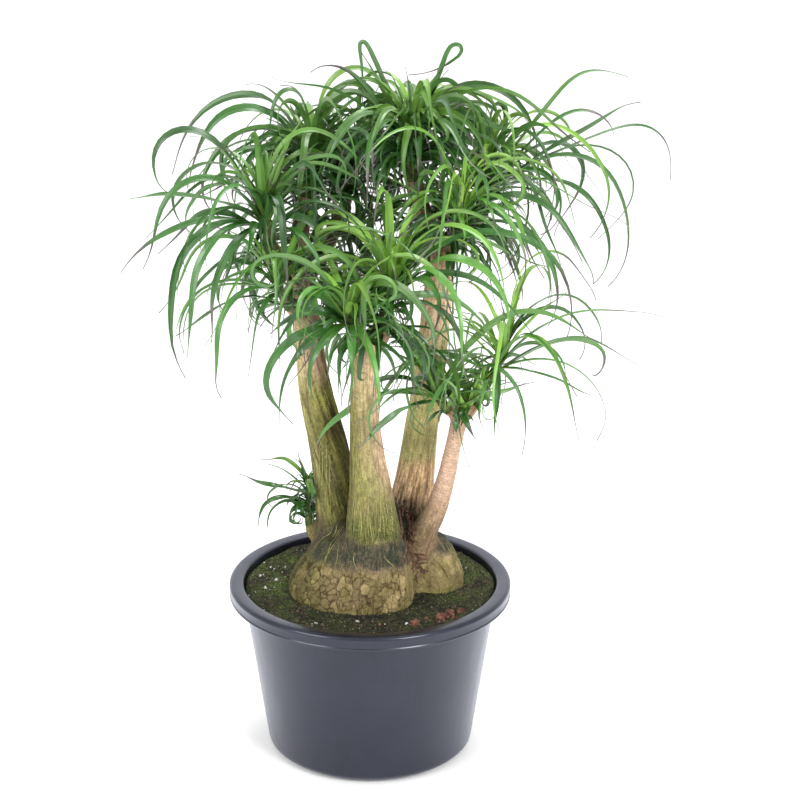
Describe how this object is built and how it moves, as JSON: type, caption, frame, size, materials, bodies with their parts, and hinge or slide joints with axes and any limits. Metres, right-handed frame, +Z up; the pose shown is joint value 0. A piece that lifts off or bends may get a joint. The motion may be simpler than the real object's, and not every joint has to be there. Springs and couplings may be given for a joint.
{
  "type": "potted ponytail palm",
  "caption": "Potted ponytail palm with a swollen base, upright trunks carrying heads of arching strap leaves, and a tapered round pot filled with soil.",
  "frame": {"origin": "centre of the pot's flat underside, on the surface that the pot stands on", "axes": "+Z up along the pot's axis; +X to the right and +Y away when the palm is seen from its front"},
  "size_m": [0.5919, 0.4341, 0.8036],
  "materials": {
    "pot_plastic": "satin slate-blue moulded plastic",
    "soil": "loose peat and bark with moss",
    "lava_stone": "rough red-brown lava gravel",
    "bark": "cracked corky bark, green with algae lower down",
    "leaf": "smooth satin green strap leaves"
  },
  "bodies": {
    "root": {"pot": "pot_plastic", "soil": "soil", "lava_stone_1": "lava_stone", "lava_stone_2": "lava_stone", "lava_stone_3": "lava_stone", "lava_stone_4": "lava_stone", "caudex_and_trunks": "bark", "leaves_left": "leaf", "leaves_left_top": "leaf", "leaves_left_low": "leaf", "leaves_mid_top": "leaf", "leaves_right": "leaf", "leaves_upper_center": "leaf", "leaves_back": "leaf", "leaves_center": "leaf", "leaves_center_low": "leaf", "leaves_stem_right": "leaf", "leaves_stem_left": "leaf", "leaves_side_shoot": "leaf"}
  },
  "joints": []
}
